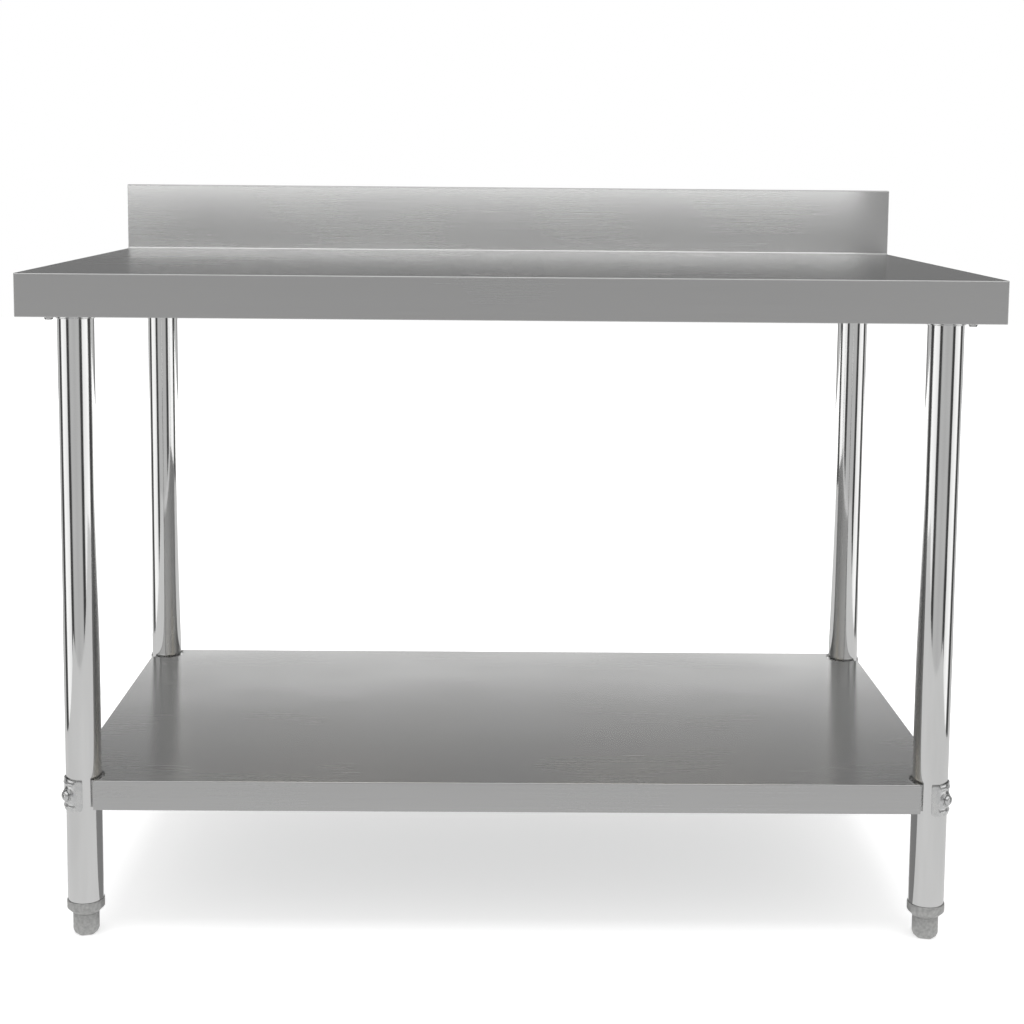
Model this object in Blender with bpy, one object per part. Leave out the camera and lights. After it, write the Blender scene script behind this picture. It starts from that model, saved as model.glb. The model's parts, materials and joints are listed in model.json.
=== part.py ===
"""Stainless work table with a splashback, a lower shelf and adjustable feet.

Units are metres.  The origin is on the floor under the middle of the table, +X points to the
right, +Y to the back where the splashback stands, and +Z up.
"""

from math import acos, asin, atan2, cos, pi, radians, sin, sqrt

import bmesh
import bpy

# Table top
TABLE_WIDTH = 1.200
TABLE_DEPTH = 0.700
WORK_HEIGHT = 0.850
APRON_HEIGHT = 0.053
SPLASH_HEIGHT = 0.100
SPLASH_THICKNESS = 0.020
SHEET = 0.0012
HEM = 0.012
BEND_RADIUS = 0.002
EDGE_ROUND = 0.0008

# Clearance between neighbouring pieces
GAP = 0.0003

# Under the top
BOARD_THICKNESS = 0.016
CHANNEL_WIDTH = 0.084
CHANNEL_LIP = 0.014
CHANNEL_SHEET = 0.0015

# Legs
TUBE_RADIUS = 0.0225
TUBE_WALL = 0.0012
LEG_INSET = 0.060
LEG_X = TABLE_WIDTH / 2 - LEG_INSET
LEG_Y = TABLE_DEPTH / 2 - LEG_INSET
TUBE_BOTTOM = 0.046

# Leg flange and its two bolts
FLANGE_PLATE = 0.002
FLANGE_HUB_RADIUS = 0.030
FLANGE_LOBE_RADIUS = 0.0095
FLANGE_BOLT_OFFSET = 0.0375
COLLAR_WALL = 0.0012
COLLAR_DEPTH = 0.0035
SPIGOT_DEPTH = 0.025
SPIGOT_WALL = 0.002
FLANGE_BOLT_RADIUS = 0.003
FLANGE_HOLE_RADIUS = 0.0035
FLANGE_HEAD_RADIUS = 0.006
FLANGE_HEAD_HEIGHT = 0.0036
FLANGE_BOLT_LENGTH = 0.018

# Shelf
SHELF_HEIGHT = 0.207
SHELF_APRON = 0.038
SHELF_SHEET = 0.001
SHELF_HEM = 0.010
SHELF_OVER_X = 0.0205
SHELF_OVER_Y = 0.021
NOTCH_RADIUS = 0.0264
STIFFENER_WIDTH = 0.060
STIFFENER_DEPTH = 0.025
STIFFENER_LIP = 0.012
STIFFENER_LENGTH = 1.000

# Shelf clamps
CLAMP_HEIGHT = SHELF_HEIGHT - SHELF_APRON / 2 - 0.001
CLAMP_PAD_THICKNESS = 0.0018
CLAMP_PAD_TALL = 0.041
CLAMP_PAD_SPAN = radians(104)
CLAMP_PAD_CORNER = 0.006
SADDLE_SPAN = radians(100)
SADDLE_MARGIN = 0.002
CLAMP_BOLT_RADIUS = 0.004
CLAMP_HOLE_RADIUS = 0.0043
CLAMP_BOLT_TAIL = 0.038
CLAMP_HEAD_RADIUS = 0.0065
CLAMP_HEAD_HEIGHT = 0.0045
CLAMP_NUT_RADIUS = 0.0075
CLAMP_NUT_THICKNESS = 0.0065
WASHER_RADIUS = 0.0085
WASHER_THICKNESS = 0.0012

# Feet
INSERT_COLLAR_RADIUS = 0.0237
INSERT_COLLAR_HEIGHT = 0.0107
INSERT_NOSE_RADIUS = 0.0173
INSERT_BOTTOM = 0.0285
INSERT_TOP = 0.081
STUD_RADIUS = 0.006
STUD_BOTTOM = 0.004
STUD_TOP = 0.090
STUD_BORE = STUD_RADIUS + GAP
FOOT_RADIUS = 0.0165
FOOT_FACET_START = 0.009
FOOT_BASE_FLAT = 0.0132

# How finely round pieces are divided
TUBE_SIDES = 32
FOOT_SIDES = 24
STUD_SIDES = 16
BOLT_SIDES = 12
CLAMP_SIDES = 16

CORNERS = {
    "front_left": (-1, -1),
    "front_right": (1, -1),
    "back_left": (-1, 1),
    "back_right": (1, 1),
}

# Name: (colour, roughness, metallic)
FINISHES = {
    "brushed_stainless": ((0.62, 0.62, 0.61), 0.32, 1.0),
    "polished_tube": ((0.80, 0.80, 0.79), 0.08, 1.0),
    "galvanised_steel": ((0.55, 0.57, 0.58), 0.45, 1.0),
    "zinc_bolt": ((0.72, 0.72, 0.70), 0.25, 1.0),
    "cast_foot": ((0.46, 0.46, 0.45), 0.55, 0.9),
    "laminated_board": ((0.62, 0.56, 0.46), 0.70, 0.0),
}


def clear_scene():
    for item in list(bpy.data.objects):
        bpy.data.objects.remove(item, do_unlink=True)


def finish_material(name):
    """A Principled BSDF material, made once and shared by the pieces of that finish."""
    material = bpy.data.materials.get(name)
    if material is None:
        colour, roughness, metallic = FINISHES[name]
        material = bpy.data.materials.new(name)
        material.use_nodes = True
        shader = material.node_tree.nodes["Principled BSDF"]
        shader.inputs["Base Color"].default_value = (*colour, 1.0)
        shader.inputs["Roughness"].default_value = roughness
        shader.inputs["Metallic"].default_value = metallic
    return material


def loft_mesh(name, rings, closed=False):
    """Skin a list of rings with equal point counts, capping both ends unless it is closed."""
    bm = bmesh.new()
    rows = [[bm.verts.new(point) for point in ring] for ring in rings]
    pairs = list(zip(rows, rows[1:]))
    if closed:
        pairs.append((rows[-1], rows[0]))
    for lower, upper in pairs:
        count = len(lower)
        for i in range(count):
            j = (i + 1) % count
            bm.faces.new((lower[i], lower[j], upper[j], upper[i]))
    if not closed:
        bm.faces.new(reversed(rows[0]))
        bm.faces.new(rows[-1])
    bmesh.ops.recalc_face_normals(bm, faces=bm.faces)
    mesh = bpy.data.meshes.new(name)
    bm.to_mesh(mesh)
    bm.free()
    mesh.shade_smooth()
    mesh.set_sharp_from_angle(angle=radians(35))
    return mesh


def circle(radius, height, sides):
    return [
        (radius * cos(2 * pi * i / sides), radius * sin(2 * pi * i / sides), height)
        for i in range(sides)
    ]


def turned_mesh(name, profile, sides, closed=False):
    """Turn a profile of (radius, height) points about Z."""
    return loft_mesh(name, [circle(r, z, sides) for r, z in profile], closed)


def box_mesh(name, low, high):
    (x0, y0, z0), (x1, y1, z1) = low, high
    outline = ((x0, y0), (x1, y0), (x1, y1), (x0, y1))
    return loft_mesh(name, [[(x, y, z) for x, y in outline] for z in (z0, z1)])


def place(name, mesh, finish, parent=None):
    """Put a piece in the scene with its finish."""
    piece = bpy.data.objects.new(name, mesh)
    bpy.context.collection.objects.link(piece)
    if not mesh.materials:
        mesh.materials.append(finish_material(finish))
    piece.parent = parent
    return piece


def cutter(name, mesh, parent=None):
    """A helper solid that only removes material from other pieces."""
    helper = bpy.data.objects.new(name, mesh)
    bpy.context.collection.objects.link(helper)
    helper.parent = parent
    helper.hide_render = True
    helper.display_type = "WIRE"
    return helper


def combine(piece, helper, operation="DIFFERENCE"):
    boolean = piece.modifiers.new(helper.name, "BOOLEAN")
    boolean.operation = operation
    boolean.solver = "EXACT"
    boolean.object = helper


def arc(centre, radius, start, end, steps):
    """Points in a plane along an arc, with angles in degrees."""
    cx, cy = centre
    angles = [radians(start + (end - start) * i / steps) for i in range(steps + 1)]
    return [(cx + radius * cos(a), cy + radius * sin(a)) for a in angles]


def corner_frame(name, signs):
    """An empty on a leg's axis whose +X points out over the table's corner."""
    sx, sy = signs
    frame = bpy.data.objects.new("corner_" + name, None)
    bpy.context.collection.objects.link(frame)
    frame.location = (sx * LEG_X, sy * LEG_Y, 0)
    frame.rotation_euler = (0, 0, atan2(sy, sx))
    return frame


# ---------------------------------------------------------------- table top


def top_silhouette():
    """Side view of the top with its splashback, as (y, z) points."""
    front = -TABLE_DEPTH / 2
    back = TABLE_DEPTH / 2
    foot_of_splash = back - SPLASH_THICKNESS
    bottom = WORK_HEIGHT - APRON_HEIGHT
    crest = WORK_HEIGHT + SPLASH_HEIGHT
    r = BEND_RADIUS
    points = [(back, bottom)]
    points += arc((back - r, crest - r), r, 0, 90, 3)
    points += arc((foot_of_splash + r, crest - r), r, 90, 180, 3)
    points += arc((foot_of_splash - r, WORK_HEIGHT + r), r, 0, -90, 3)
    points += arc((front + r, WORK_HEIGHT - r), r, 90, 180, 3)
    points.append((front, bottom))
    return points


def rectangle(half_x, half_y, height):
    return [(-half_x, -half_y, height), (half_x, -half_y, height),
            (half_x, half_y, height), (-half_x, half_y, height)]


def worktop_skin():
    """The folded sheet: top, four aprons with inward hems, and the splashback."""
    half = TABLE_WIDTH / 2
    depth = TABLE_DEPTH / 2
    bottom = WORK_HEIGHT - APRON_HEIGHT
    crest = WORK_HEIGHT + SPLASH_HEIGHT
    rings = [[(x, y, z) for y, z in top_silhouette()] for x in (-half, half)]
    skin = place("worktop_skin", loft_mesh("worktop_skin", rings), "brushed_stainless")
    rounding = skin.modifiers.new("edges", "BEVEL")
    rounding.width = EDGE_ROUND
    rounding.segments = 2
    rounding.limit_method = "ANGLE"
    rounding.angle_limit = radians(60)
    tray = loft_mesh("tray_hollow", [
        rectangle(half - HEM, depth - HEM, bottom - HEM),
        rectangle(half - HEM, depth - HEM, bottom + SHEET),
        rectangle(half - SHEET, depth - SHEET, bottom + SHEET),
        rectangle(half - SHEET, depth - SHEET, WORK_HEIGHT - SHEET),
    ])
    combine(skin, cutter("tray_hollow", tray))
    near = depth - SPLASH_THICKNESS + SHEET
    far = depth - SHEET - GAP
    throat = box_mesh("splash_throat", (-half + SHEET + GAP, near + GAP, WORK_HEIGHT - HEM),
                      (half - SHEET - GAP, far - GAP, WORK_HEIGHT + HEM))
    combine(skin, cutter("splash_throat", throat))
    hollow = box_mesh("splash_hollow", (-half - HEM, near, WORK_HEIGHT + BEND_RADIUS),
                      (half + HEM, far, crest - SHEET))
    combine(skin, cutter("splash_hollow", hollow))


def splash_ends():
    """Pressed caps that close the two ends of the splashback."""
    depth = TABLE_DEPTH / 2
    near = depth - SPLASH_THICKNESS + SHEET + GAP
    far = depth - SHEET - 2 * GAP
    low = WORK_HEIGHT + BEND_RADIUS + GAP
    high = WORK_HEIGHT + SPLASH_HEIGHT - SHEET - GAP
    outer = TABLE_WIDTH / 2 - GAP
    flange = 0.010

    def ring(x, inset):
        y0, y1, z0, z1 = near + inset, far - inset, low + inset, high - inset
        return [(x, y0, z0), (x, y1, z0), (x, y1, z1), (x, y0, z1)]

    for name, side in (("left", -1), ("right", 1)):
        rings = [
            ring(side * outer, 0),
            ring(side * (outer - flange), 0),
            ring(side * (outer - flange), SHEET),
            ring(side * (outer - SHEET), SHEET),
        ]
        title = "splash_end_" + name
        place(title, loft_mesh(title, rings), "brushed_stainless")


def underlay_board():
    """The board glued under the sheet, which stiffens and deadens the top."""
    top = WORK_HEIGHT - SHEET - GAP
    half = TABLE_WIDTH / 2 - SHEET - 0.0013
    depth = TABLE_DEPTH / 2
    mesh = box_mesh("underlay_board", (-half, -depth + SHEET + 0.0013, top - BOARD_THICKNESS),
                    (half, depth - SPLASH_THICKNESS - SHEET, top))
    place("underlay_board", mesh, "laminated_board")


def hat_section(width, bottom, top, lip, sheet):
    """A hat channel seen on end: web below, lips at the top."""
    w = width / 2
    return [
        (-w - lip, top - sheet), (-w, top - sheet), (-w, bottom), (w, bottom),
        (w, top - sheet), (w + lip, top - sheet), (w + lip, top), (w - sheet, top),
        (w - sheet, bottom + sheet), (-w + sheet, bottom + sheet), (-w + sheet, top),
        (-w - lip, top),
    ]


def channels():
    """Front-to-back hat channels: one over each pair of legs and one in the middle."""
    top = WORK_HEIGHT - SHEET - BOARD_THICKNESS - 2 * GAP
    bottom = WORK_HEIGHT - APRON_HEIGHT + GAP
    length = TABLE_DEPTH / 2 - HEM - 0.002
    section = hat_section(CHANNEL_WIDTH, bottom, top, CHANNEL_LIP, CHANNEL_SHEET)
    made = {}
    for name, x in (("left", -LEG_X), ("centre", 0.0), ("right", LEG_X)):
        rings = [[(x + u, y, z) for u, z in section] for y in (-length, length)]
        title = "channel_" + name
        made[name] = place(title, loft_mesh(title, rings), "galvanised_steel")
    return made


# ---------------------------------------------------------------- leg flanges


def diamond_outline(height, steps=8):
    """The flange plate: a round hub with a lobe round each bolt."""
    lean = acos((FLANGE_HUB_RADIUS - FLANGE_LOBE_RADIUS) / FLANGE_BOLT_OFFSET)
    points = []
    for centre, radius, middle, half in (
        (FLANGE_BOLT_OFFSET, FLANGE_LOBE_RADIUS, 0, lean),
        (0, FLANGE_HUB_RADIUS, pi / 2, pi / 2 - lean),
        (-FLANGE_BOLT_OFFSET, FLANGE_LOBE_RADIUS, pi, lean),
        (0, FLANGE_HUB_RADIUS, 3 * pi / 2, pi / 2 - lean),
    ):
        for i in range(steps + 1):
            angle = middle - half + 2 * half * i / steps
            points.append((centre + radius * cos(angle), radius * sin(angle), height))
    return points


def leg_flange(name, frame, holes):
    """A plate bolted under the top, with a collar round the tube and a spigot in it."""
    plate_top = WORK_HEIGHT - APRON_HEIGHT
    plate_low = plate_top - FLANGE_PLATE
    collar_in = TUBE_RADIUS + GAP
    collar_out = collar_in + COLLAR_WALL
    spigot_out = TUBE_RADIUS - TUBE_WALL - GAP
    spigot_in = spigot_out - SPIGOT_WALL
    inside = plate_low + FLANGE_PLATE / 4
    mesh = loft_mesh("leg_flange", [diamond_outline(plate_low), diamond_outline(plate_top)])
    piece = place("leg_flange_" + name, mesh, "zinc_bolt", frame)
    sleeve = turned_mesh("flange_sleeve", [
        (spigot_in, inside),
        (spigot_in, plate_low - SPIGOT_DEPTH),
        (spigot_out, plate_low - SPIGOT_DEPTH),
        (spigot_out, inside),
        (collar_in, inside),
        (collar_in, plate_low - COLLAR_DEPTH),
        (collar_out, plate_low - COLLAR_DEPTH),
        (collar_out, plate_low + FLANGE_PLATE / 2),
        (spigot_in, plate_low + FLANGE_PLATE / 2),
    ], FOOT_SIDES, closed=True)
    combine(piece, cutter("flange_sleeve_" + name, sleeve, frame), "UNION")
    for hole in holes:
        combine(piece, hole)


def flange_fasteners(name, frame):
    """The two bolts of one flange, and the holes that they pass through."""
    seat = WORK_HEIGHT - APRON_HEIGHT - FLANGE_PLATE - GAP
    head = seat - FLANGE_HEAD_HEIGHT
    bolt = turned_mesh("flange_bolt", [
        (FLANGE_HEAD_RADIUS - 0.0012, head),
        (FLANGE_HEAD_RADIUS, head + 0.0012),
        (FLANGE_HEAD_RADIUS, seat),
        (FLANGE_BOLT_RADIUS, seat),
        (FLANGE_BOLT_RADIUS, seat + FLANGE_BOLT_LENGTH),
    ], BOLT_SIDES)
    hole = turned_mesh("flange_hole", [
        (FLANGE_HOLE_RADIUS, seat - 0.004),
        (FLANGE_HOLE_RADIUS, seat + 0.010),
    ], BOLT_SIDES)
    holes = []
    for place_name, x in (("outer", FLANGE_BOLT_OFFSET), ("inner", -FLANGE_BOLT_OFFSET)):
        piece = place("flange_bolt_" + name + "_" + place_name, bolt, "zinc_bolt", frame)
        piece.location.x = x
        helper = cutter("flange_hole_" + name + "_" + place_name, hole, frame)
        helper.location.x = x
        holes.append(helper)
    return holes


# ---------------------------------------------------------------- legs and feet


def leg_tube(name, frame, bolt_hole):
    top = WORK_HEIGHT - APRON_HEIGHT - FLANGE_PLATE - GAP
    inner = TUBE_RADIUS - TUBE_WALL
    mesh = turned_mesh("leg_tube", [
        (inner, TUBE_BOTTOM), (TUBE_RADIUS, TUBE_BOTTOM), (TUBE_RADIUS, top), (inner, top),
    ], TUBE_SIDES, closed=True)
    combine(place("leg_tube_" + name, mesh, "polished_tube", frame), bolt_hole)


def foot_insert(name, frame):
    """The casting pressed into the tube's end, with the thread for the foot's stud."""
    top = TUBE_BOTTOM - GAP
    shoulder = top - INSERT_COLLAR_HEIGHT
    plug = TUBE_RADIUS - TUBE_WALL - GAP
    chamfer = 0.0007
    mesh = turned_mesh("foot_insert", [
        (STUD_BORE, INSERT_BOTTOM),
        (INSERT_NOSE_RADIUS, INSERT_BOTTOM),
        (INSERT_COLLAR_RADIUS, shoulder),
        (INSERT_COLLAR_RADIUS, top - chamfer),
        (INSERT_COLLAR_RADIUS - chamfer, top),
        (plug, top),
        (plug, INSERT_TOP - 0.001),
        (plug - 0.001, INSERT_TOP),
        (STUD_BORE, INSERT_TOP),
    ], FOOT_SIDES, closed=True)
    place("foot_insert_" + name, mesh, "cast_foot", frame)


def foot_stud(name, frame):
    mesh = turned_mesh("foot_stud", [
        (STUD_RADIUS, STUD_BOTTOM),
        (STUD_RADIUS, STUD_TOP - 0.001),
        (STUD_RADIUS - 0.001, STUD_TOP),
    ], STUD_SIDES)
    place("foot_stud_" + name, mesh, "zinc_bolt", frame)


def facet_ring(flat, height):
    """A hexagon with the same point count as the foot's circles."""
    ring = []
    for i in range(FOOT_SIDES):
        angle = 2 * pi * i / FOOT_SIDES
        off = (angle + pi / 6) % (pi / 3) - pi / 6
        radius = min(flat / cos(off), FOOT_RADIUS)
        ring.append((radius * cos(angle), radius * sin(angle), height))
    return ring


def foot_pad(name, frame):
    """The turning foot: round above, with spanner flats that taper to its base."""
    top = INSERT_BOTTOM - GAP
    chamfer = 0.0006
    rings = [
        circle(STUD_BORE, STUD_BOTTOM - GAP, FOOT_SIDES),
        circle(STUD_BORE, top, FOOT_SIDES),
        circle(FOOT_RADIUS - chamfer, top, FOOT_SIDES),
        circle(FOOT_RADIUS, top - chamfer, FOOT_SIDES),
        circle(FOOT_RADIUS, FOOT_FACET_START, FOOT_SIDES),
        facet_ring((FOOT_RADIUS + FOOT_BASE_FLAT) / 2, 0.002),
        facet_ring(FOOT_BASE_FLAT, 0.0),
    ]
    place("foot_pad_" + name, loft_mesh("foot_pad", rings), "cast_foot", frame)


# ---------------------------------------------------------------- shelf


def shelf_outline(inset, height, steps=16):
    """Plan of the shelf with a hollow round each leg, drawn in by an even inset."""
    over_x = SHELF_OVER_X - inset
    over_y = SHELF_OVER_Y - inset
    radius = NOTCH_RADIUS + inset
    points = []
    for sx, sy in ((-1, -1), (1, -1), (1, 1), (-1, 1)):
        inward = atan2(-sy, -sx)
        turn_to_side = asin(over_x / radius) + pi / 4
        turn_to_front = asin(over_y / radius) + pi / 4
        if sx * sy > 0:
            first, last = turn_to_side, -turn_to_front
        else:
            first, last = turn_to_front, -turn_to_side
        for i in range(steps + 1):
            angle = inward + first + (last - first) * i / steps
            x = sx * LEG_X + radius * cos(angle)
            y = sy * LEG_Y + radius * sin(angle)
            points.append((x, y, height))
    return points


def shelf_panel(bolt_holes):
    """The folded shelf: top, aprons with inward hems, and a curved wall round each leg."""
    top = SHELF_HEIGHT
    low = top - SHELF_APRON
    r = BEND_RADIUS * 0.6
    rings = [shelf_outline(r, top)]
    for angle in (30, 60, 90):
        rings.append(shelf_outline(r * (1 - sin(radians(angle))), top - r * (1 - cos(radians(angle)))))
    rings += [
        shelf_outline(0, low),
        shelf_outline(SHELF_HEM, low),
        shelf_outline(SHELF_HEM, low + SHELF_SHEET),
        shelf_outline(SHELF_SHEET, low + SHELF_SHEET),
        shelf_outline(SHELF_SHEET, top - SHELF_SHEET),
    ]
    panel = place("shelf_panel", loft_mesh("shelf_panel", rings), "brushed_stainless")
    for hole in bolt_holes:
        combine(panel, hole)


def shelf_stiffener():
    top = SHELF_HEIGHT - SHELF_SHEET - GAP
    section = hat_section(STIFFENER_WIDTH, top - STIFFENER_DEPTH, top, STIFFENER_LIP, SHELF_SHEET)
    half = STIFFENER_LENGTH / 2
    rings = [[(x, u, z) for u, z in section] for x in (-half, half)]
    place("shelf_stiffener", loft_mesh("shelf_stiffener", rings), "galvanised_steel")


# ---------------------------------------------------------------- shelf clamps


def curved_plate(name, middle, span, inner, outer, drop, steps):
    """A plate bent round the leg; drop(arc distance from an end) trims its corners."""
    rings = []
    for i in range(steps + 1):
        angle = middle - span / 2 + span * i / steps
        reach = min(i, steps - i) * span / steps * outer
        low, high = drop(reach)
        corners = ((inner, low), (outer, low), (outer, high), (inner, high))
        rings.append([(r * cos(angle), r * sin(angle), z) for r, z in corners])
    return loft_mesh(name, rings)


def clamp_pad(name, frame, bolt_hole):
    """The outer half of a clamp, with rounded lower corners."""
    low = CLAMP_HEIGHT - CLAMP_PAD_TALL / 2
    high = CLAMP_HEIGHT + CLAMP_PAD_TALL / 2

    def trim(reach):
        short = max(CLAMP_PAD_CORNER - reach, 0)
        return low + CLAMP_PAD_CORNER - sqrt(CLAMP_PAD_CORNER ** 2 - short ** 2), high

    inner = TUBE_RADIUS + GAP
    mesh = curved_plate("clamp_pad", 0, CLAMP_PAD_SPAN, inner, inner + CLAMP_PAD_THICKNESS, trim, 20)
    combine(place("clamp_pad_" + name, mesh, "zinc_bolt", frame), bolt_hole)


def clamp_saddle(name, frame, bolt_hole):
    """The inner half of a clamp, welded into the hollow of the shelf's corner."""
    low = SHELF_HEIGHT - SHELF_APRON + SADDLE_MARGIN
    high = SHELF_HEIGHT - SADDLE_MARGIN
    mesh = curved_plate("clamp_saddle", pi, SADDLE_SPAN, TUBE_RADIUS + GAP, NOTCH_RADIUS - GAP,
                        lambda reach: (low, high), 10)
    combine(place("clamp_saddle_" + name, mesh, "galvanised_steel", frame), bolt_hole)


def along_bolt(name, profile, sides, closed=False):
    """A piece turned about the clamp bolt's axis, which runs along the corner's +X."""
    rings = [
        [(x, r * cos(2 * pi * i / sides), CLAMP_HEIGHT + r * sin(2 * pi * i / sides))
         for i in range(sides)]
        for r, x in profile
    ]
    return loft_mesh(name, rings, closed)


def clamp_fasteners(name, frame):
    """Bolt, washer and captive nut of one clamp."""
    seat = TUBE_RADIUS + CLAMP_PAD_THICKNESS + 2 * GAP
    head = seat + WASHER_THICKNESS + GAP
    washer = along_bolt("clamp_washer", [
        (CLAMP_HOLE_RADIUS, seat), (WASHER_RADIUS, seat),
        (WASHER_RADIUS, seat + WASHER_THICKNESS), (CLAMP_HOLE_RADIUS, seat + WASHER_THICKNESS),
    ], CLAMP_SIDES, closed=True)
    place("clamp_washer_" + name, washer, "zinc_bolt", frame)
    bolt = along_bolt("clamp_bolt", [
        (CLAMP_BOLT_RADIUS, -CLAMP_BOLT_TAIL),
        (CLAMP_BOLT_RADIUS, head),
        (CLAMP_HEAD_RADIUS, head),
        (CLAMP_HEAD_RADIUS, head + CLAMP_HEAD_HEIGHT * 0.35),
        (CLAMP_HEAD_RADIUS * 0.85, head + CLAMP_HEAD_HEIGHT * 0.75),
        (CLAMP_HEAD_RADIUS * 0.45, head + CLAMP_HEAD_HEIGHT),
    ], CLAMP_SIDES)
    place("clamp_bolt_" + name, bolt, "zinc_bolt", frame)
    face = -(NOTCH_RADIUS + SHELF_SHEET + GAP)
    back = face - CLAMP_NUT_THICKNESS
    nut = along_bolt("clamp_nut", [(CLAMP_NUT_RADIUS, back), (CLAMP_NUT_RADIUS, face)], 6)
    return place("clamp_nut_" + name, nut, "zinc_bolt", frame)


def clamp_hole(name, frame):
    mesh = along_bolt("clamp_hole", [
        (CLAMP_HOLE_RADIUS, -CLAMP_BOLT_TAIL - 0.004),
        (CLAMP_HOLE_RADIUS, CLAMP_BOLT_TAIL),
    ], BOLT_SIDES)
    return cutter("clamp_hole_" + name, mesh, frame)


# ---------------------------------------------------------------- assembly


def corner(name, signs, channel):
    """Everything that belongs to one leg; returns the hole that its clamp bolt needs."""
    frame = corner_frame(name, signs)
    holes = flange_fasteners(name, frame)
    leg_flange(name, frame, holes)
    for hole in holes:
        combine(channel, hole)
    bolt_hole = clamp_hole(name, frame)
    leg_tube(name, frame, bolt_hole)
    foot_insert(name, frame)
    foot_stud(name, frame)
    foot_pad(name, frame)
    clamp_pad(name, frame, bolt_hole)
    clamp_saddle(name, frame, bolt_hole)
    combine(clamp_fasteners(name, frame), bolt_hole)
    return bolt_hole


def build_table():
    clear_scene()
    worktop_skin()
    splash_ends()
    underlay_board()
    channel = channels()
    bolt_holes = []
    for name, signs in CORNERS.items():
        side = "left" if signs[0] < 0 else "right"
        bolt_holes.append(corner(name, signs, channel[side]))
    shelf_panel(bolt_holes)
    shelf_stiffener()


build_table()
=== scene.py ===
"""Looks of the stainless work table: materials, fine pieces, studio and camera.

Units are metres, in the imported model's frame: +X right, +Y to the splashback, +Z up, origin on
the floor under the middle of the table.
"""

import json
from math import atan2, cos, pi, radians, sin, sqrt

import bmesh
import bpy
from mathutils import Matrix, Vector


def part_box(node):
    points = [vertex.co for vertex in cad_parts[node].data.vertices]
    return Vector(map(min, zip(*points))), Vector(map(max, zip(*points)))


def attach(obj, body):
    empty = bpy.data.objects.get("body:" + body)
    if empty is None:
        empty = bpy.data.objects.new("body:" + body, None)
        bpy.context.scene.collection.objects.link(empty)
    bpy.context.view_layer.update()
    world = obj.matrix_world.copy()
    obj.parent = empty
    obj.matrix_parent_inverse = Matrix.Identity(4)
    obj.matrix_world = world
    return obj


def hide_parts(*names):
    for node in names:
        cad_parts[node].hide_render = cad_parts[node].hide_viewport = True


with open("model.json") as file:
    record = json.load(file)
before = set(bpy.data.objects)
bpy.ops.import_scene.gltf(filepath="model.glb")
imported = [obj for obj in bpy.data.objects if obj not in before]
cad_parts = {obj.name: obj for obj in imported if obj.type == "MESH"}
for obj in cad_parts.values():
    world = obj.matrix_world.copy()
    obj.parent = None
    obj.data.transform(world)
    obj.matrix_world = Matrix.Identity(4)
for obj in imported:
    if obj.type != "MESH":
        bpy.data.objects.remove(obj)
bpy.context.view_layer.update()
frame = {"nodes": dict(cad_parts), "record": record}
nodes = frame["nodes"]

CORNERS = {
    "front_left": (-1, -1),
    "front_right": (1, -1),
    "back_left": (-1, 1),
    "back_right": (1, 1),
}

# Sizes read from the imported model
TUBE_LOW, TUBE_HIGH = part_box("leg_tube_front_right")
LEG_X = (TUBE_LOW.x + TUBE_HIGH.x) / 2
LEG_Y = -(TUBE_LOW.y + TUBE_HIGH.y) / 2
TUBE_RADIUS = 0.0225
TUBE_WALL = 0.0012
TUBE_BOTTOM = TUBE_LOW.z
TUBE_TOP = TUBE_HIGH.z
GAP = 0.0003

# ---------------------------------------------------------------- mesh helpers


def finish_mesh(name, bm, sharp=35):
    """Turn a bmesh into a smooth mesh whose edges above the given angle stay sharp."""
    bmesh.ops.recalc_face_normals(bm, faces=bm.faces)
    mesh = bpy.data.meshes.new(name)
    bm.to_mesh(mesh)
    bm.free()
    mesh.shade_smooth()
    mesh.set_sharp_from_angle(angle=radians(sharp))
    return mesh


def loft(name, rings, closed=False, sharp=35):
    """Skin rings with equal point counts; both ends are capped unless the loft is closed."""
    bm = bmesh.new()
    rows = [[bm.verts.new(point) for point in ring] for ring in rings]
    pairs = list(zip(rows, rows[1:]))
    if closed:
        pairs.append((rows[-1], rows[0]))
    for lower, upper in pairs:
        count = len(lower)
        for i in range(count):
            j = (i + 1) % count
            bm.faces.new((lower[i], lower[j], upper[j], upper[i]))
    if not closed:
        bm.faces.new(reversed(rows[0]))
        bm.faces.new(rows[-1])
    return finish_mesh(name, bm, sharp)


def circle(radius, height, sides):
    steps = [2 * pi * i / sides for i in range(sides)]
    return [(radius * cos(a), radius * sin(a), height) for a in steps]


def turned(name, profile, sides, closed=False, sharp=35):
    """Spin a profile of (radius, height) points about Z."""
    return loft(name, [circle(r, z, sides) for r, z in profile], closed, sharp)


def smooth(t):
    """Ease from 0 to 1 and hold outside that range."""
    t = min(max(t, 0.0), 1.0)
    return t * t * (3 - 2 * t)


# ---------------------------------------------------------------- materials


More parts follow.
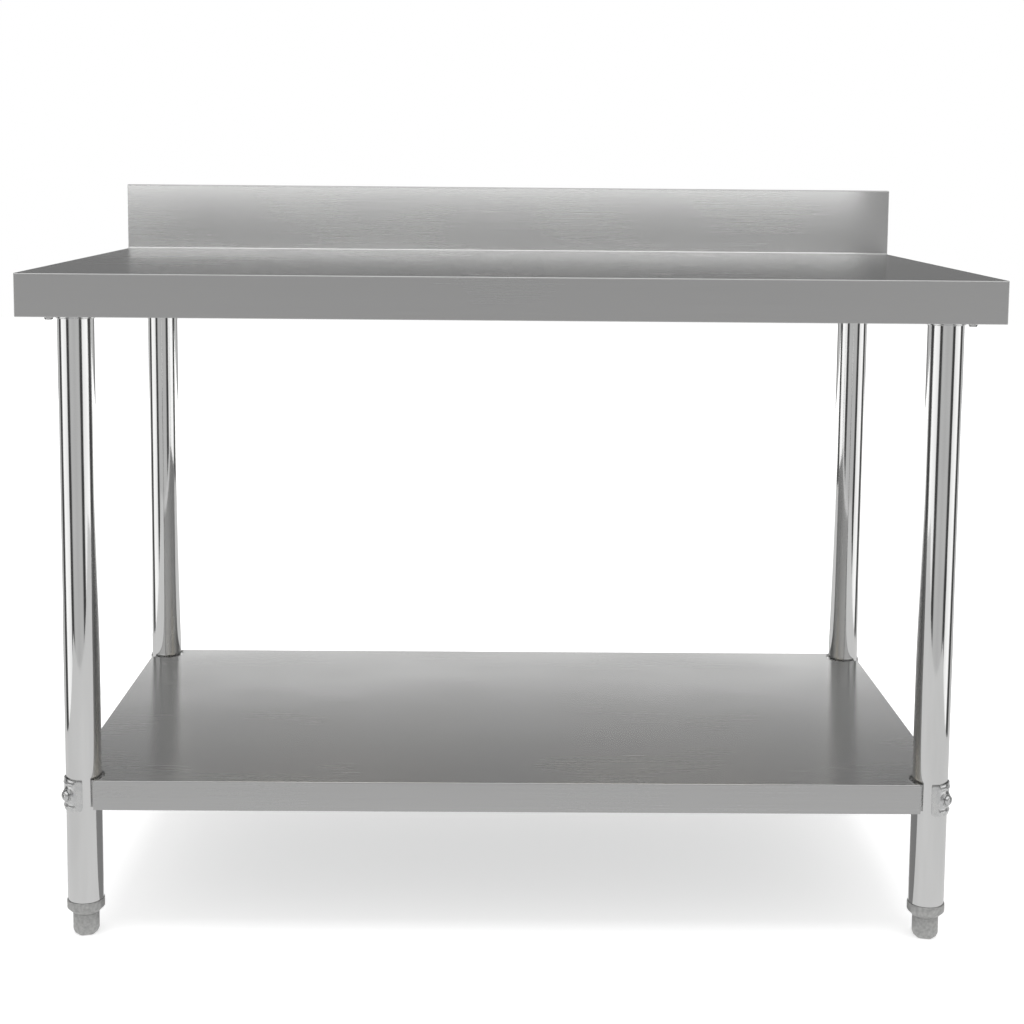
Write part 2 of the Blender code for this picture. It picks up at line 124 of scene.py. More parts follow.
class Shader:
    """A Principled material with short calls for the nodes that drive it."""

    def __init__(self, name, colour, roughness, metallic):
        self.material = bpy.data.materials.new(name)
        self.material.use_nodes = True
        self.tree = self.material.node_tree
        self.bsdf = self.tree.nodes["Principled BSDF"]
        self.set("Base Color", (*colour, 1.0))
        self.set("Roughness", roughness)
        self.set("Metallic", metallic)
        self.where = self.tree.nodes.new("ShaderNodeTexCoord").outputs["Object"]

    def set(self, socket, value):
        self.bsdf.inputs[socket].default_value = value

    def link(self, source, target):
        self.tree.links.new(source, target)

    def stretched(self, scale):
        mapping = self.tree.nodes.new("ShaderNodeMapping")
        mapping.inputs["Scale"].default_value = scale
        self.link(self.where, mapping.inputs["Vector"])
        return mapping.outputs["Vector"]

    def noise(self, scale, size=1.0, detail=3.0, roughness=0.5):
        node = self.tree.nodes.new("ShaderNodeTexNoise")
        node.inputs["Scale"].default_value = size
        node.inputs["Detail"].default_value = detail
        node.inputs["Roughness"].default_value = roughness
        self.link(self.stretched(scale), node.inputs["Vector"])
        return node.outputs["Fac"]

    def cells(self, scale):
        node = self.tree.nodes.new("ShaderNodeTexVoronoi")
        node.inputs["Scale"].default_value = 1.0
        self.link(self.stretched(scale), node.inputs["Vector"])
        return node.outputs["Color"]

    def ranged(self, value, low, high, from_low=0.3, from_high=0.7):
        node = self.tree.nodes.new("ShaderNodeMapRange")
        node.inputs["From Min"].default_value = from_low
        node.inputs["From Max"].default_value = from_high
        node.inputs["To Min"].default_value = low
        node.inputs["To Max"].default_value = high
        self.link(value, node.inputs["Value"])
        return node.outputs["Result"]

    def math(self, operation, first, second):
        node = self.tree.nodes.new("ShaderNodeMath")
        node.operation = operation
        for socket, value in zip(node.inputs, (first, second)):
            if isinstance(value, (int, float)):
                socket.default_value = value
            else:
                self.link(value, socket)
        return node.outputs["Value"]

    def tint(self, factor, dark, light):
        node = self.tree.nodes.new("ShaderNodeMix")
        node.data_type = "RGBA"
        sockets = [s for s in node.inputs if s.type == "RGBA"]
        sockets[0].default_value = (*dark, 1.0)
        sockets[1].default_value = (*light, 1.0)
        self.link(factor, node.inputs["Factor"])
        outputs = [s for s in node.outputs if s.type == "RGBA"]
        self.link(outputs[0], self.bsdf.inputs["Base Color"])

    def bump(self, heights):
        """Stack bumps given as (height, distance in metres) pairs."""
        normal = None
        for height, distance in heights:
            node = self.tree.nodes.new("ShaderNodeBump")
            node.inputs["Strength"].default_value = 1.0
            node.inputs["Distance"].default_value = distance
            self.link(height, node.inputs["Height"])
            if normal is not None:
                self.link(normal, node.inputs["Normal"])
            normal = node.outputs["Normal"]
        self.link(normal, self.bsdf.inputs["Normal"])


def brushed_stainless():
    """Satin sheet, ground in long strokes along the table's width."""
    shader = Shader("brushed_stainless", (0.60, 0.60, 0.595), 0.36, 1.0)
    shader.set("Anisotropic", 0.75)
    shader.set("Anisotropic Rotation", 0.25)
    along = shader.tree.nodes.new("ShaderNodeCombineXYZ")
    along.inputs["X"].default_value = 1.0
    along.inputs["Y"].default_value = 0.001
    shader.link(along.outputs["Vector"], shader.bsdf.inputs["Tangent"])
    strokes = shader.noise((14.0, 1500.0, 1500.0), detail=4.0, roughness=0.65)
    long_strokes = shader.noise((2.2, 420.0, 420.0), detail=2.0)
    clouds = shader.noise((3.0, 5.0, 5.0), detail=2.0)
    grain = shader.math("ADD", shader.math("MULTIPLY", strokes, 0.6),
                        shader.math("MULTIPLY", long_strokes, 0.4))
    shader.tint(shader.ranged(grain, 0.0, 1.0), (0.582, 0.582, 0.578), (0.618, 0.618, 0.614))
    rough = shader.math("ADD", shader.ranged(grain, -0.012, 0.012),
                        shader.ranged(clouds, 0.24, 0.28))
    shader.link(rough, shader.bsdf.inputs["Roughness"])
    shader.bump([(clouds, 0.00015), (strokes, 0.000002)])
    return shader.material


def polished_tube():
    """Mirror-polished tube with faint rings left by the polishing belt."""
    shader = Shader("polished_tube", (0.80, 0.80, 0.795), 0.07, 1.0)
    rings = shader.noise((40.0, 40.0, 1400.0), detail=3.0, roughness=0.6)
    smears = shader.noise((60.0, 60.0, 6.0), detail=2.0)
    rough = shader.math("ADD", shader.ranged(rings, -0.015, 0.02),
                        shader.ranged(smears, 0.05, 0.10))
    shader.link(rough, shader.bsdf.inputs["Roughness"])
    shader.tint(shader.ranged(smears, 0.0, 1.0), (0.77, 0.77, 0.765), (0.83, 0.83, 0.825))
    shader.bump([(smears, 0.00012), (rings, 0.0000015)])
    return shader.material


def zinc_bolt():
    """Bright zinc plating on bolts, washers, flanges and clamp pads."""
    shader = Shader("zinc_bolt", (0.72, 0.72, 0.71), 0.24, 1.0)
    patches = shader.noise((160.0, 160.0, 160.0), detail=4.0)
    specks = shader.noise((1400.0, 1400.0, 1400.0), detail=2.0)
    shader.tint(shader.ranged(patches, 0.0, 1.0), (0.64, 0.645, 0.65), (0.78, 0.78, 0.77))
    shader.link(shader.ranged(patches, 0.17, 0.32), shader.bsdf.inputs["Roughness"])
    shader.bump([(specks, 0.000008)])
    return shader.material


def galvanised_steel():
    """Hot-dip galvanised sheet with its crystal spangle."""
    shader = Shader("galvanised_steel", (0.50, 0.52, 0.53), 0.46, 1.0)
    spangle = shader.cells((110.0, 110.0, 110.0))
    split = shader.tree.nodes.new("ShaderNodeSeparateColor")
    shader.link(spangle, split.inputs["Color"])
    haze = shader.noise((30.0, 30.0, 30.0), detail=3.0)
    tone = shader.math("ADD", shader.math("MULTIPLY", split.outputs["Red"], 0.6),
                       shader.math("MULTIPLY", haze, 0.4))
    shader.tint(tone, (0.40, 0.42, 0.43), (0.58, 0.60, 0.61))
    rough = shader.ranged(split.outputs["Green"], 0.36, 0.56, 0.0, 1.0)
    shader.link(rough, shader.bsdf.inputs["Roughness"])
    shader.bump([(haze, 0.00003)])
    return shader.material


def cast_foot():
    """Grey casting with a fine grain and slightly worn high spots."""
    shader = Shader("cast_foot", (0.40, 0.40, 0.39), 0.5, 0.85)
    grain = shader.noise((900.0, 900.0, 900.0), detail=4.0, roughness=0.7)
    pits = shader.noise((260.0, 260.0, 260.0), detail=3.0)
    shader.tint(shader.ranged(pits, 0.0, 1.0), (0.40, 0.40, 0.395), (0.56, 0.56, 0.55))
    shader.link(shader.ranged(grain, 0.42, 0.62), shader.bsdf.inputs["Roughness"])
    shader.bump([(pits, 0.00035), (grain, 0.00012)])
    return shader.material


def laminated_board():
    """Board faced with pale paper laminate, with the chips showing faintly through."""
    shader = Shader("laminated_board", (0.62, 0.58, 0.50), 0.6, 0.0)
    chips = shader.cells((220.0, 220.0, 220.0))
    split = shader.tree.nodes.new("ShaderNodeSeparateColor")
    shader.link(chips, split.inputs["Color"])
    fibre = shader.noise((90.0, 500.0, 90.0), detail=3.0)
    tone = shader.math("ADD", shader.math("MULTIPLY", split.outputs["Red"], 0.5),
                       shader.math("MULTIPLY", fibre, 0.5))
    shader.tint(tone, (0.54, 0.49, 0.41), (0.70, 0.66, 0.58))
    shader.link(shader.ranged(fibre, 0.5, 0.7), shader.bsdf.inputs["Roughness"])
    shader.bump([(fibre, 0.00006)])
    return shader.material


FINISHES = {
    "brushed_stainless": brushed_stainless(),
    "polished_tube": polished_tube(),
    "zinc_bolt": zinc_bolt(),
    "galvanised_steel": galvanised_steel(),
    "cast_foot": cast_foot(),
    "laminated_board": laminated_board(),
}


def dress_cad_nodes():
    """Give every carried-over CAD node its procedural finish."""
    for part in frame["record"]["subparts"]:
        mesh = nodes[part["node"]].data
        mesh.materials.clear()
        mesh.materials.append(FINISHES[part["material_slot"]])


dress_cad_nodes()

# ---------------------------------------------------------------- legs

TUBE_SIDES = 128
FINE_SIDES = 96
BOLT_SIDES = 48


def fit_corner_piece(name, mesh, finish, body, replaced, corner):
    """Put a fine piece on its body in place of one CAD node.

    Its mesh is drawn about the leg's axis with +X pointing out over the table's corner.
    """
    piece = bpy.data.objects.new(name, mesh)
    bpy.context.scene.collection.objects.link(piece)
    mesh.materials.append(FINISHES[finish])
    sx, sy = CORNERS[corner]
    turn = Matrix.Rotation(atan2(sy, sx), 4, "Z")
    piece.matrix_world = Matrix.Translation((sx * LEG_X, sy * LEG_Y, 0)) @ turn
    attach(piece, body)
    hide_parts(replaced)


def leg_tube(corner):
    """Round tube with softly broken rims."""
    rim = 0.0004
    inner = TUBE_RADIUS - TUBE_WALL
    profile = [
        (inner, TUBE_BOTTOM + rim),
        (inner + rim, TUBE_BOTTOM),
        (TUBE_RADIUS - rim, TUBE_BOTTOM),
        (TUBE_RADIUS - rim * 0.3, TUBE_BOTTOM + rim * 0.3),
        (TUBE_RADIUS, TUBE_BOTTOM + rim),
        (TUBE_RADIUS, TUBE_TOP),
        (inner, TUBE_TOP),
    ]
    mesh = turned("tube_" + corner, profile, TUBE_SIDES, closed=True)
    fit_corner_piece("tube_" + corner, mesh, "polished_tube", "table",
                     "leg_tube_" + corner, corner)


# ---------------------------------------------------------------- leg flanges

FLANGE_HUB = 0.030
FLANGE_LOBE = 0.0095
BOLT_OFFSET = 0.0375
PLATE_TOP = 0.797
PLATE_LOW = 0.795
COLLAR_BOTTOM = 0.7915
SPIGOT_LENGTH = 0.025


def diamond_reach(angle):
    """Distance from the leg's axis to the flange plate's rim in one direction."""
    reach = 1.0
    for degree in range(0, 360, 2):
        normal = radians(degree)
        facing = cos(normal - angle)
        if facing > 0.05:
            support = max(FLANGE_HUB, BOLT_OFFSET * abs(cos(normal)) + FLANGE_LOBE)
            reach = min(reach, support / facing)
    return reach


def diamond_ring(inset, height):
    """The plate's outline, drawn in by an inset."""
    ring = []
    for i in range(FINE_SIDES):
        a = 2 * pi * i / FINE_SIDES
        reach = diamond_reach(a) - inset
        ring.append((reach * cos(a), reach * sin(a), height))
    return ring


def leg_flange(corner):
    """Pressed plate with rolled rim, a filleted collar round the tube and a spigot in it."""
    collar_in = TUBE_RADIUS + GAP
    collar_out = collar_in + 0.0012
    spigot_out = TUBE_RADIUS - TUBE_WALL - GAP
    spigot_in = spigot_out - 0.002
    edge = 0.0004
    fillet = 0.0012
    lower = [
        (collar_out + fillet, PLATE_LOW),
        (collar_out + fillet * 0.4, PLATE_LOW - fillet * 0.3),
        (collar_out, PLATE_LOW - fillet),
        (collar_out, COLLAR_BOTTOM + edge),
        (collar_out - edge, COLLAR_BOTTOM),
        (collar_in, COLLAR_BOTTOM),
        (collar_in, PLATE_LOW),
        (spigot_out, PLATE_LOW),
        (spigot_out, PLATE_LOW - SPIGOT_LENGTH),
        (spigot_in, PLATE_LOW - SPIGOT_LENGTH),
        (spigot_in, PLATE_LOW),
    ]
    rings = [diamond_ring(edge, PLATE_TOP), diamond_ring(0.0, PLATE_TOP - edge),
             diamond_ring(0.0, PLATE_LOW + edge), diamond_ring(edge, PLATE_LOW)]
    rings += [circle(r, z, FINE_SIDES) for r, z in lower]
    mesh = loft("flange_" + corner, rings)
    fit_corner_piece("flange_" + corner, mesh, "zinc_bolt", "table",
                     "leg_flange_" + corner, corner)


def hexagon(flat, corner_radius, height, sides=FINE_SIDES):
    """A hexagon whose corners are cut back to a circle, with the ring's usual point count."""
    ring = []
    for i in range(sides):
        a = 2 * pi * i / sides
        off = (a + pi / 6) % (pi / 3) - pi / 6
        radius = min(flat / cos(off), corner_radius)
        ring.append((radius * cos(a), radius * sin(a), height))
    return ring


def flange_bolt_mesh():
    """Hexagon head with a small flange, seen from below."""
    seat = PLATE_LOW - GAP
    low = seat - 0.0036
    half_flats, half_corners = 0.0046, 0.0052
    rim, shank, length = 0.0060, 0.0030, 0.018
    rings = [
        circle(0.0036, low, BOLT_SIDES),
        hexagon(0.0042, half_flats, low + 0.0003, BOLT_SIDES),
        hexagon(half_flats, half_corners, low + 0.0009, BOLT_SIDES),
        hexagon(half_flats, half_corners, seat - 0.0011, BOLT_SIDES),
        circle(0.0054, seat - 0.0009, BOLT_SIDES),
        circle(rim, seat - 0.0004, BOLT_SIDES),
        circle(rim, seat, BOLT_SIDES),
        circle(shank, seat, BOLT_SIDES),
        circle(shank, seat + length, BOLT_SIDES),
    ]
    return loft("flange_bolt", rings)


def flange_bolts(corner):
    """The two bolts on each side of the leg."""
    for side, x in (("outer", BOLT_OFFSET), ("inner", -BOLT_OFFSET)):
        name = "bolt_" + corner + "_" + side
        mesh = flange_bolt_mesh()
        mesh.transform(Matrix.Translation((x, 0, 0)))
        fit_corner_piece(name, mesh, "zinc_bolt", "table",
                         "flange_bolt_" + corner + "_" + side, corner)


# ---------------------------------------------------------------- shelf clamps

CLAMP_HEIGHT = 0.187
PAD_INNER = TUBE_RADIUS + GAP
PAD_OUTER = PAD_INNER + 0.0018
PAD_HALF_TALL = 0.0205
PAD_HALF_SPAN = radians(52)
SEAT = PAD_OUTER + GAP
PAD_LOW_CORNER = 0.006
PAD_HIGH_CORNER = 0.003
BOSS_RADIUS = 0.0112
BOSS_BLEND = 0.0022
RIB_OFFSET = 0.0150
RIB_HALF_WIDTH = 0.0026
RIB_HALF_LENGTH = 0.0135
RIB_RISE = 0.0011
SOFT_EDGE = 0.0004
SOFT_REACH = 0.0006
WASHER_THICK = 0.0012


def pad_relief(angle, height):
    """Outer radius of the clamp pad: a flat seat for the bolt between two pressed ribs."""
    along = PAD_OUTER * angle
    distance = sqrt(along ** 2 + height ** 2)
    flat = (SEAT - GAP / 5) / cos(angle)
    boss = smooth((BOSS_RADIUS - distance) / BOSS_BLEND)
    rib = smooth((RIB_HALF_WIDTH - abs(abs(height) - RIB_OFFSET)) / 0.0018)
    rib *= smooth((RIB_HALF_LENGTH - abs(along)) / 0.003)
    return PAD_OUTER + (flat - PAD_OUTER) * boss + RIB_RISE * rib * (1 - boss)


def clamp_pad(corner):
    """Curved outer half of the clamp, with rounded corners and softly broken edges."""
    stations, rows = 56, 36
    width = 2 * PAD_HALF_SPAN * PAD_OUTER
    rings = []
    for i in range(stations + 1):
        share = i / stations
        angle = PAD_HALF_SPAN * (2 * share - 1)
        reach = min(share, 1 - share) * width
        trim = []
        for radius in (PAD_LOW_CORNER, PAD_HIGH_CORNER):
            short = max(radius - reach, 0.0)
            trim.append(radius - sqrt(radius ** 2 - short ** 2))
        low, high = -PAD_HALF_TALL + trim[0], PAD_HALF_TALL - trim[1]
        end_round = SOFT_EDGE * (1 - smooth(reach / SOFT_REACH))
        heights = [low + (high - low) * k / rows for k in range(rows + 1)]
        ring = [(PAD_INNER, z) for z in heights]
        for k in range(rows, -1, -1):
            z = heights[k]
            edge = min(z - low, high - z)
            soft = SOFT_EDGE * (1 - smooth(edge / SOFT_REACH))
            ring.append((pad_relief(angle, z) - max(soft, end_round), z))
        rings.append([(r * cos(angle), r * sin(angle), CLAMP_HEIGHT + z) for r, z in ring])
    mesh = loft("pad_" + corner, rings, sharp=50)
    fit_corner_piece("pad_" + corner, mesh, "zinc_bolt", "table",
                     "clamp_pad_" + corner, corner)


def about_bolt(ring):
    """Turn a ring about Z into a ring about the clamp bolt's axis."""
    return [(z, x, CLAMP_HEIGHT + y) for x, y, z in ring]


def clamp_bolt(corner):
    """Button-head bolt with a hexagon socket, through pad, leg and shelf corner."""
    face = SEAT + GAP + WASHER_THICK
    head, tall, rim = 0.0065, 0.0042, 0.0003
    crown, side = 0.0030, 0.0008
    shank, tip, chamfer = 0.004, -0.038, 0.0005
    rings = [
        circle(0.0037, tip, BOLT_SIDES),
        circle(shank, tip + chamfer, BOLT_SIDES),
        circle(shank, face, BOLT_SIDES),
        circle(head - rim, face, BOLT_SIDES),
        circle(head, face + rim, BOLT_SIDES),
    ]
    for i in range(1, 8):
        a = radians(11 * i)
        radius = crown + (head - crown) * cos(a)
        rings.append(circle(radius, face + side + (tall - side) * sin(a), BOLT_SIDES))
    top = face + tall
    socket_depth = 0.0022
    rings += [
        hexagon(0.0023, 0.0026, top, BOLT_SIDES),
        hexagon(0.0021, 0.0024, top - rim, BOLT_SIDES),
        hexagon(0.0021, 0.0024, top - socket_depth, BOLT_SIDES),
    ]
    mesh = loft("clamp_screw_" + corner, [about_bolt(ring) for ring in rings])
    fit_corner_piece("clamp_screw_" + corner, mesh, "zinc_bolt", "table",
                     "clamp_bolt_" + corner, corner)


def clamp_washer(corner):
    """Flat washer with a punched, slightly rounded rim."""
    sides, soft = 64, 0.0002
    outer, inner, low, high = 0.0085, 0.0043, SEAT, SEAT + WASHER_THICK
    profile = [(inner, low), (outer - soft, low), (outer, low + soft), (outer, high - soft),
               (outer - soft, high), (inner + soft, high), (inner, high - soft)]
    rings = [about_bolt(circle(r, z, sides)) for r, z in profile]
    mesh = loft("washer_" + corner, rings, closed=True)
    fit_corner_piece("washer_" + corner, mesh, "zinc_bolt", "table",
                     "clamp_washer_" + corner, corner)


def clamp_saddle(corner):
    """Inner half of the clamp, filling the shelf's rounded corner cut round the leg."""
    inner = TUBE_RADIUS + GAP
    outer = inner + 0.0033
    half_span = radians(95)
    soft = 0.0005
    low, high = 0.171, 0.205
    stations = 96
    rings = []
    for i in range(stations + 1):
        share = i / stations
        angle = pi + half_span * (2 * share - 1)
        reach = min(share, 1 - share) * 2 * half_span * outer
        trim = soft * (1 - smooth(reach / (2 * soft)))
        rim = outer - trim
        profile = [
            (inner, low + trim),
            (rim - soft, low + trim),
            (rim, low + soft + trim),
            (rim, high - soft - trim),
            (rim - soft, high - trim),
            (inner, high - trim),
        ]
        rings.append([(r * cos(angle), r * sin(angle), z) for r, z in profile])
    mesh = loft("saddle_" + corner, rings, sharp=50)
    fit_corner_piece("saddle_" + corner, mesh, "zinc_bolt", "table",
                     "clamp_saddle_" + corner, corner)


# ---------------------------------------------------------------- feet

INSERT_LOW = 0.0285
INSERT_TOP = 0.081
FOOT_RADIUS = 0.0165
FOOT_FLAT = 0.0132
FLATS_TOP = 0.0125
FLATS_BOTTOM = 0.0012
STUD_BORE = 0.0063
THREAD_PITCH = 0.00175


def foot_insert(corner):
    """Cast plug with a rounded collar and a coned nose."""
    top = TUBE_BOTTOM - GAP
    shoulder = top - 0.0107
    plug = TUBE_RADIUS - TUBE_WALL - GAP
    collar, nose, soft = 0.0237, 0.0173, 0.0009
    profile = [
        (STUD_BORE, INSERT_LOW),
        (nose - 0.0005, INSERT_LOW),
        (nose + 0.0001, INSERT_LOW + 0.0005),
        (collar - soft, shoulder - soft * 0.7),
        (collar - soft * 0.25, shoulder + soft * 0.2),
        (collar, shoulder + soft),
        (collar, top - soft),
        (collar - soft * 0.3, top - soft * 0.3),
        (collar - soft, top),
        (plug, top),
        (plug, INSERT_TOP - 0.001),
        (plug - 0.001, INSERT_TOP),
        (STUD_BORE, INSERT_TOP),
    ]
    mesh = turned("insert_" + corner, profile, FINE_SIDES, closed=True, sharp=50)
    fit_corner_piece("insert_" + corner, mesh, "cast_foot", "table",
                     "foot_insert_" + corner, corner)


def foot_pad(corner):
    """Turning foot: round above, drawn in to six worn spanner flats below."""
    top = INSERT_LOW - GAP
    soft = 0.0006
    rings = [
        circle(STUD_BORE, 0.0037, FINE_SIDES),
        circle(STUD_BORE, top, FINE_SIDES),
        circle(FOOT_RADIUS - soft, top, FINE_SIDES),
        circle(FOOT_RADIUS - soft * 0.3, top - soft * 0.3, FINE_SIDES),
        circle(FOOT_RADIUS, top - soft, FINE_SIDES),
        circle(FOOT_RADIUS, FLATS_TOP, FINE_SIDES),
    ]
    steps = 10
    for i in range(1, steps + 1):
        t = i / steps
        flat = FOOT_RADIUS - (FOOT_RADIUS - FOOT_FLAT) * t ** 1.4
        height = FLATS_TOP - (FLATS_TOP - FLATS_BOTTOM) * t
        rings.append(hexagon(flat, min(FOOT_RADIUS, flat * 1.10), height))
    rings.append(hexagon(FOOT_FLAT - 0.0004, FOOT_FLAT * 1.07, 0.0004))
    rings.append(hexagon(FOOT_FLAT - 0.0012, FOOT_FLAT, 0.0))
    mesh = loft("foot_" + corner, rings, sharp=50)
    fit_corner_piece("foot_" + corner, mesh, "cast_foot", "foot_" + corner,
                     "foot_pad_" + corner, corner)


def foot_stud(corner):
    """Stud with a rolled thread, seen when the foot is screwed out."""
    sides, per_pitch = 24, 8
    low, high, crest, depth = 0.004, 0.090, 0.006, 0.0009
    count = int((high - low) / THREAD_PITCH * per_pitch)
    rings = []
    for k in range(count + 1):
        z = low + (high - low) * k / count
        fade = smooth((high - z) / 0.002) * smooth((z - low) / 0.002)
        ring = []
        for i in range(sides):
            phase = (z / THREAD_PITCH - i / sides) % 1.0
            groove = depth * abs(2 * phase - 1) * fade + depth * (1 - fade)
            r = crest - groove
            a = 2 * pi * i / sides
            ring.append((r * cos(a), r * sin(a), z))
        rings.append(ring)
    mesh = loft("stud_" + corner, rings, sharp=60)
    fit_corner_piece("stud_" + corner, mesh, "zinc_bolt", "screw_" + corner,
                     "foot_stud_" + corner, corner)


PIECE_MAKERS = (
    leg_tube, leg_flange, flange_bolts, clamp_pad, clamp_saddle, clamp_bolt, clamp_washer,
    foot_insert, foot_pad, foot_stud,
)

for corner in CORNERS:
    for make in PIECE_MAKERS:
        make(corner)

# ---------------------------------------------------------------- studio

BACKDROP_TONE = 1.0
FLOOR_REACH = 9.0
FLOOR_GLOW = 0.44
FLOOR_DIFFUSE = 0.80

# Reflected studio below the horizon, by bearing from the camera's side in degrees
LOW_BANDS = (
    (0, 0.50), (24, 0.55), (30, 0.46), (34, 0.06), (47, 0.05), (52, 1.00),
    (88, 1.20), (94, 0.07), (112, 0.06), (119, 0.60), (146, 0.55), (155, 0.22), (180, 0.30),
)
# Reflected studio above the horizon, by elevation in degrees
FRONT_RISE = ((0, 0.29), (10, 0.28), (26, 0.36), (40, 1.00), (75, 1.20))
BACK_RISE = ((0, 0.85), (4, 0.45), (9, 0.12), (48, 0.10), (70, 0.60), (85, 1.20))


def world_nodes():
    """Plain white to look at; a soft studio with darker gaps in the reflections."""
    world = bpy.data.worlds.new("studio")
    bpy.context.scene.world = world
    world.use_nodes = True
    tree = world.node_tree
    tree.nodes.clear()
    new = tree.nodes.new
    link = tree.links.new

    def math(operation, *values):
        node = new("ShaderNodeMath")
        node.operation = operation
        for socket, value in zip(node.inputs, values):
            if isinstance(value, (int, float)):
                socket.default_value = value
            else:
                link(value, socket)
        return node.outputs["Value"]

    def ramp(position, stops):
        node = new("ShaderNodeValToRGB")
        link(position, node.inputs["Fac"])
        elements = node.color_ramp.elements
        while len(elements) < len(stops):
            elements.new(0.5)
        for element, (place, value) in zip(elements, stops):
            element.position = place
        for element, (place, value) in zip(elements, stops):
            element.color = (value, value, value, 1.0)
        return node.outputs["Color"]

    def blend(factor, first, second):
        node = new("ShaderNodeMix")
        node.data_type = "FLOAT"
        link(factor, node.inputs["Factor"])
        for socket, value in (("A", first), ("B", second)):
            if isinstance(value, (int, float)):
                node.inputs[socket].default_value = value
            else:
                link(value, node.inputs[socket])
        return node.outputs["Result"]

    def step(value, low, high):
        node = new("ShaderNodeMapRange")
        node.interpolation_type = "SMOOTHSTEP"
        node.inputs["From Min"].default_value = low
        node.inputs["From Max"].default_value = high
        link(value, node.inputs["Value"])
        return node.outputs["Result"]

    direction = new("ShaderNodeTexCoord").outputs["Generated"]
    split = new("ShaderNodeSeparateXYZ")
    link(direction, split.inputs["Vector"])
    x, y, z = (split.outputs[axis] for axis in "XYZ")
    # 0 towards the camera's side (-Y), 1 straight behind the table (+Y)
    bearing = math("DIVIDE", math("ABSOLUTE", math("ARCTAN2", x, math("MULTIPLY", y, -1.0))), pi)
    low_bands = ramp(bearing, [(degree / 180, value) for degree, value in LOW_BANDS])
    # the same sine of elevation is 0 straight down, 0.5 level and 1 straight up
    lift = math("MULTIPLY_ADD", z, 0.5, 0.5)
    before = ramp(lift, [(0.5 + 0.5 * sin(radians(e)), value) for e, value in FRONT_RISE])
    behind = ramp(lift, [(0.5 + 0.5 * sin(radians(e)), value) for e, value in BACK_RISE])
    high = blend(step(bearing, 0.45, 0.62), before, behind)
    mix = blend(step(z, -0.02, 0.03), low_bands, high)
    path = new("ShaderNodeLightPath")
    seen = blend(path.outputs["Is Glossy Ray"], BACKDROP_TONE, mix)
    background = new("ShaderNodeBackground")
    background.inputs["Color"].default_value = (1.0, 1.0, 1.0, 1.0)
    link(seen, background.inputs["Strength"])
    output = new("ShaderNodeOutputWorld")
    link(background.outputs["Background"], output.inputs["Surface"])


def glow(name, tone, diffuse=0.0):
    """Plain white light of a given strength, over a matt white of a given tone."""
    material = bpy.data.materials.new(name)
    material.use_nodes = True
    shader = material.node_tree.nodes["Principled BSDF"]
    shader.inputs["Base Color"].default_value = (diffuse, diffuse, diffuse, 1.0)
    shader.inputs["Roughness"].default_value = 1.0
    shader.inputs["Specular IOR Level"].default_value = 0.0
    shader.inputs["Emission Color"].default_value = (1.0, 1.0, 1.0, 1.0)
    shader.inputs["Emission Strength"].default_value = tone
    return material


def one_sided(material):
    """Let a glowing card vanish when it is seen from its back."""
    tree = material.node_tree
    shader = tree.nodes["Principled BSDF"]
    mix = tree.nodes.new("ShaderNodeMixShader")
    tree.links.new(tree.nodes.new("ShaderNodeNewGeometry").outputs["Backfacing"], mix.inputs[0])
    tree.links.new(shader.outputs["BSDF"], mix.inputs[1])
    tree.links.new(tree.nodes.new("ShaderNodeBsdfTransparent").outputs["BSDF"], mix.inputs[2])
    tree.links.new(mix.outputs["Shader"], tree.nodes["Material Output"].inputs["Surface"])
    return material


def card(name, corners, material, camera=False, glossy=True, diffuse=False):
    """One quad of the studio; by default only glossy rays meet it."""
    mesh = bpy.data.meshes.new(name)
    mesh.from_pydata(corners, [], [(0, 1, 2, 3)])
    mesh.materials.append(material)
    item = bpy.data.objects.new(name, mesh)
    bpy.context.scene.collection.objects.link(item)
    item.visible_camera = camera
    item.visible_glossy = glossy
    item.visible_diffuse = diffuse
    item.visible_shadow = False
    return item


def flat_card(name, x, y0, y1, z, material, **flags):
    return card(name, [(-x, y0, z), (x, y0, z), (x, y1, z), (-x, y1, z)], material, **flags)


def upright_card(name, x0, x1, y, z0, z1, material):
    return card(name, [(x0, y, z0), (x1, y, z0), (x1, y, z1), (x0, y, z1)], material)


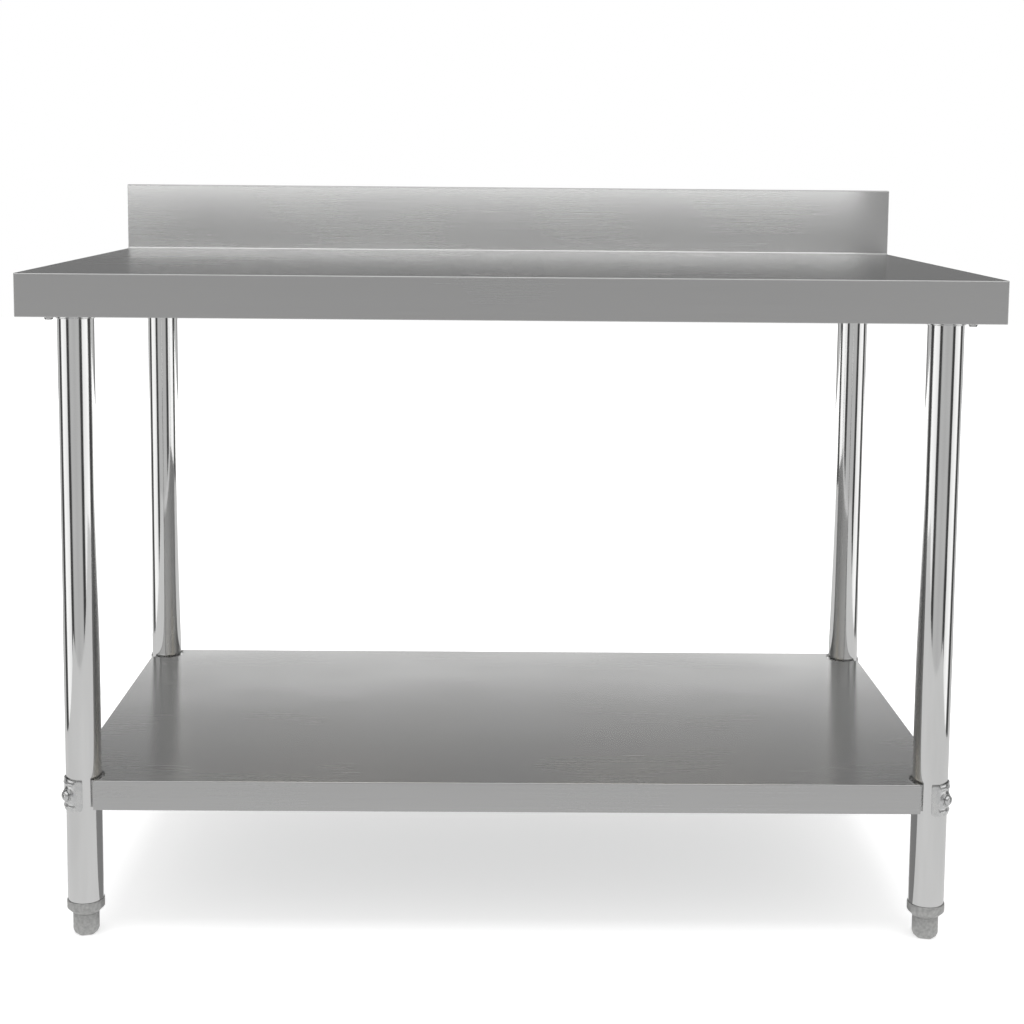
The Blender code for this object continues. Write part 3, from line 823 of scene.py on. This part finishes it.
def studio():
    """Pale floor, the cards that only reflections see, and one soft lamp overhead."""
    world_nodes()
    floor = one_sided(glow("floor", FLOOR_GLOW, FLOOR_DIFFUSE))
    flat_card("floor", FLOOR_REACH, -FLOOR_REACH, FLOOR_REACH, -0.0004, floor,
              camera=True, glossy=False, diffuse=True)
    flat_card("floor_card", 1.10, -0.95, 0.90, -0.0003, glow("floor_card", 0.66))
    # dim card under the table, seen only in reflections: painted shadow of the shelf on the
    # floor
    flat_card("floor_shade", 0.50, -0.27, 0.27, -0.0002, glow("floor_shade", 0.22))
    # upright behind the table: brightens the back of the shelf
    upright_card("back_card", -1.5, 1.5, 1.0, 0.0, 0.50, glow("back_card", 1.4))
    # strip over the worktop, facing back: brightens the top of the splashback
    upright_card("strip_card", 0.62, -0.86, 0.02, 0.962, 1.05,
                 one_sided(glow("strip_card", 2.6)))
    light = bpy.data.lights.new("overhead", "AREA")
    light.shape = "RECTANGLE"
    light.size = 2.6
    light.size_y = 1.8
    light.energy = 45.0
    lamp = bpy.data.objects.new("overhead", light)
    bpy.context.scene.collection.objects.link(lamp)
    lamp.location = (0.0, -0.4, 2.7)
    lamp.visible_camera = False
    lamp.visible_glossy = False


studio()

# ---------------------------------------------------------------- camera


def camera():
    """Near-level view from the front, a little left of the middle."""
    yaw, pitch, roll = radians(0.585), radians(6.35), radians(0.504)
    forward = Vector((sin(yaw) * cos(pitch), cos(yaw) * cos(pitch), -sin(pitch)))
    right = Vector((cos(yaw), -sin(yaw), 0.0))
    up = right.cross(forward)
    right, up = right * cos(roll) + up * sin(roll), up * cos(roll) - right * sin(roll)
    data = bpy.data.cameras.new("camera")
    data.sensor_width = 36.0
    data.lens = 62.9
    data.shift_y = -0.14
    item = bpy.data.objects.new("camera", data)
    bpy.context.scene.collection.objects.link(item)
    turn = Matrix((right, up, -forward)).transposed().to_4x4()
    item.matrix_world = Matrix.Translation((-0.022, -2.502, 0.9784)) @ turn
    bpy.context.scene.camera = item


camera()
bpy.context.scene.view_settings.view_transform = "Standard"
bpy.context.scene.view_settings.look = "None"
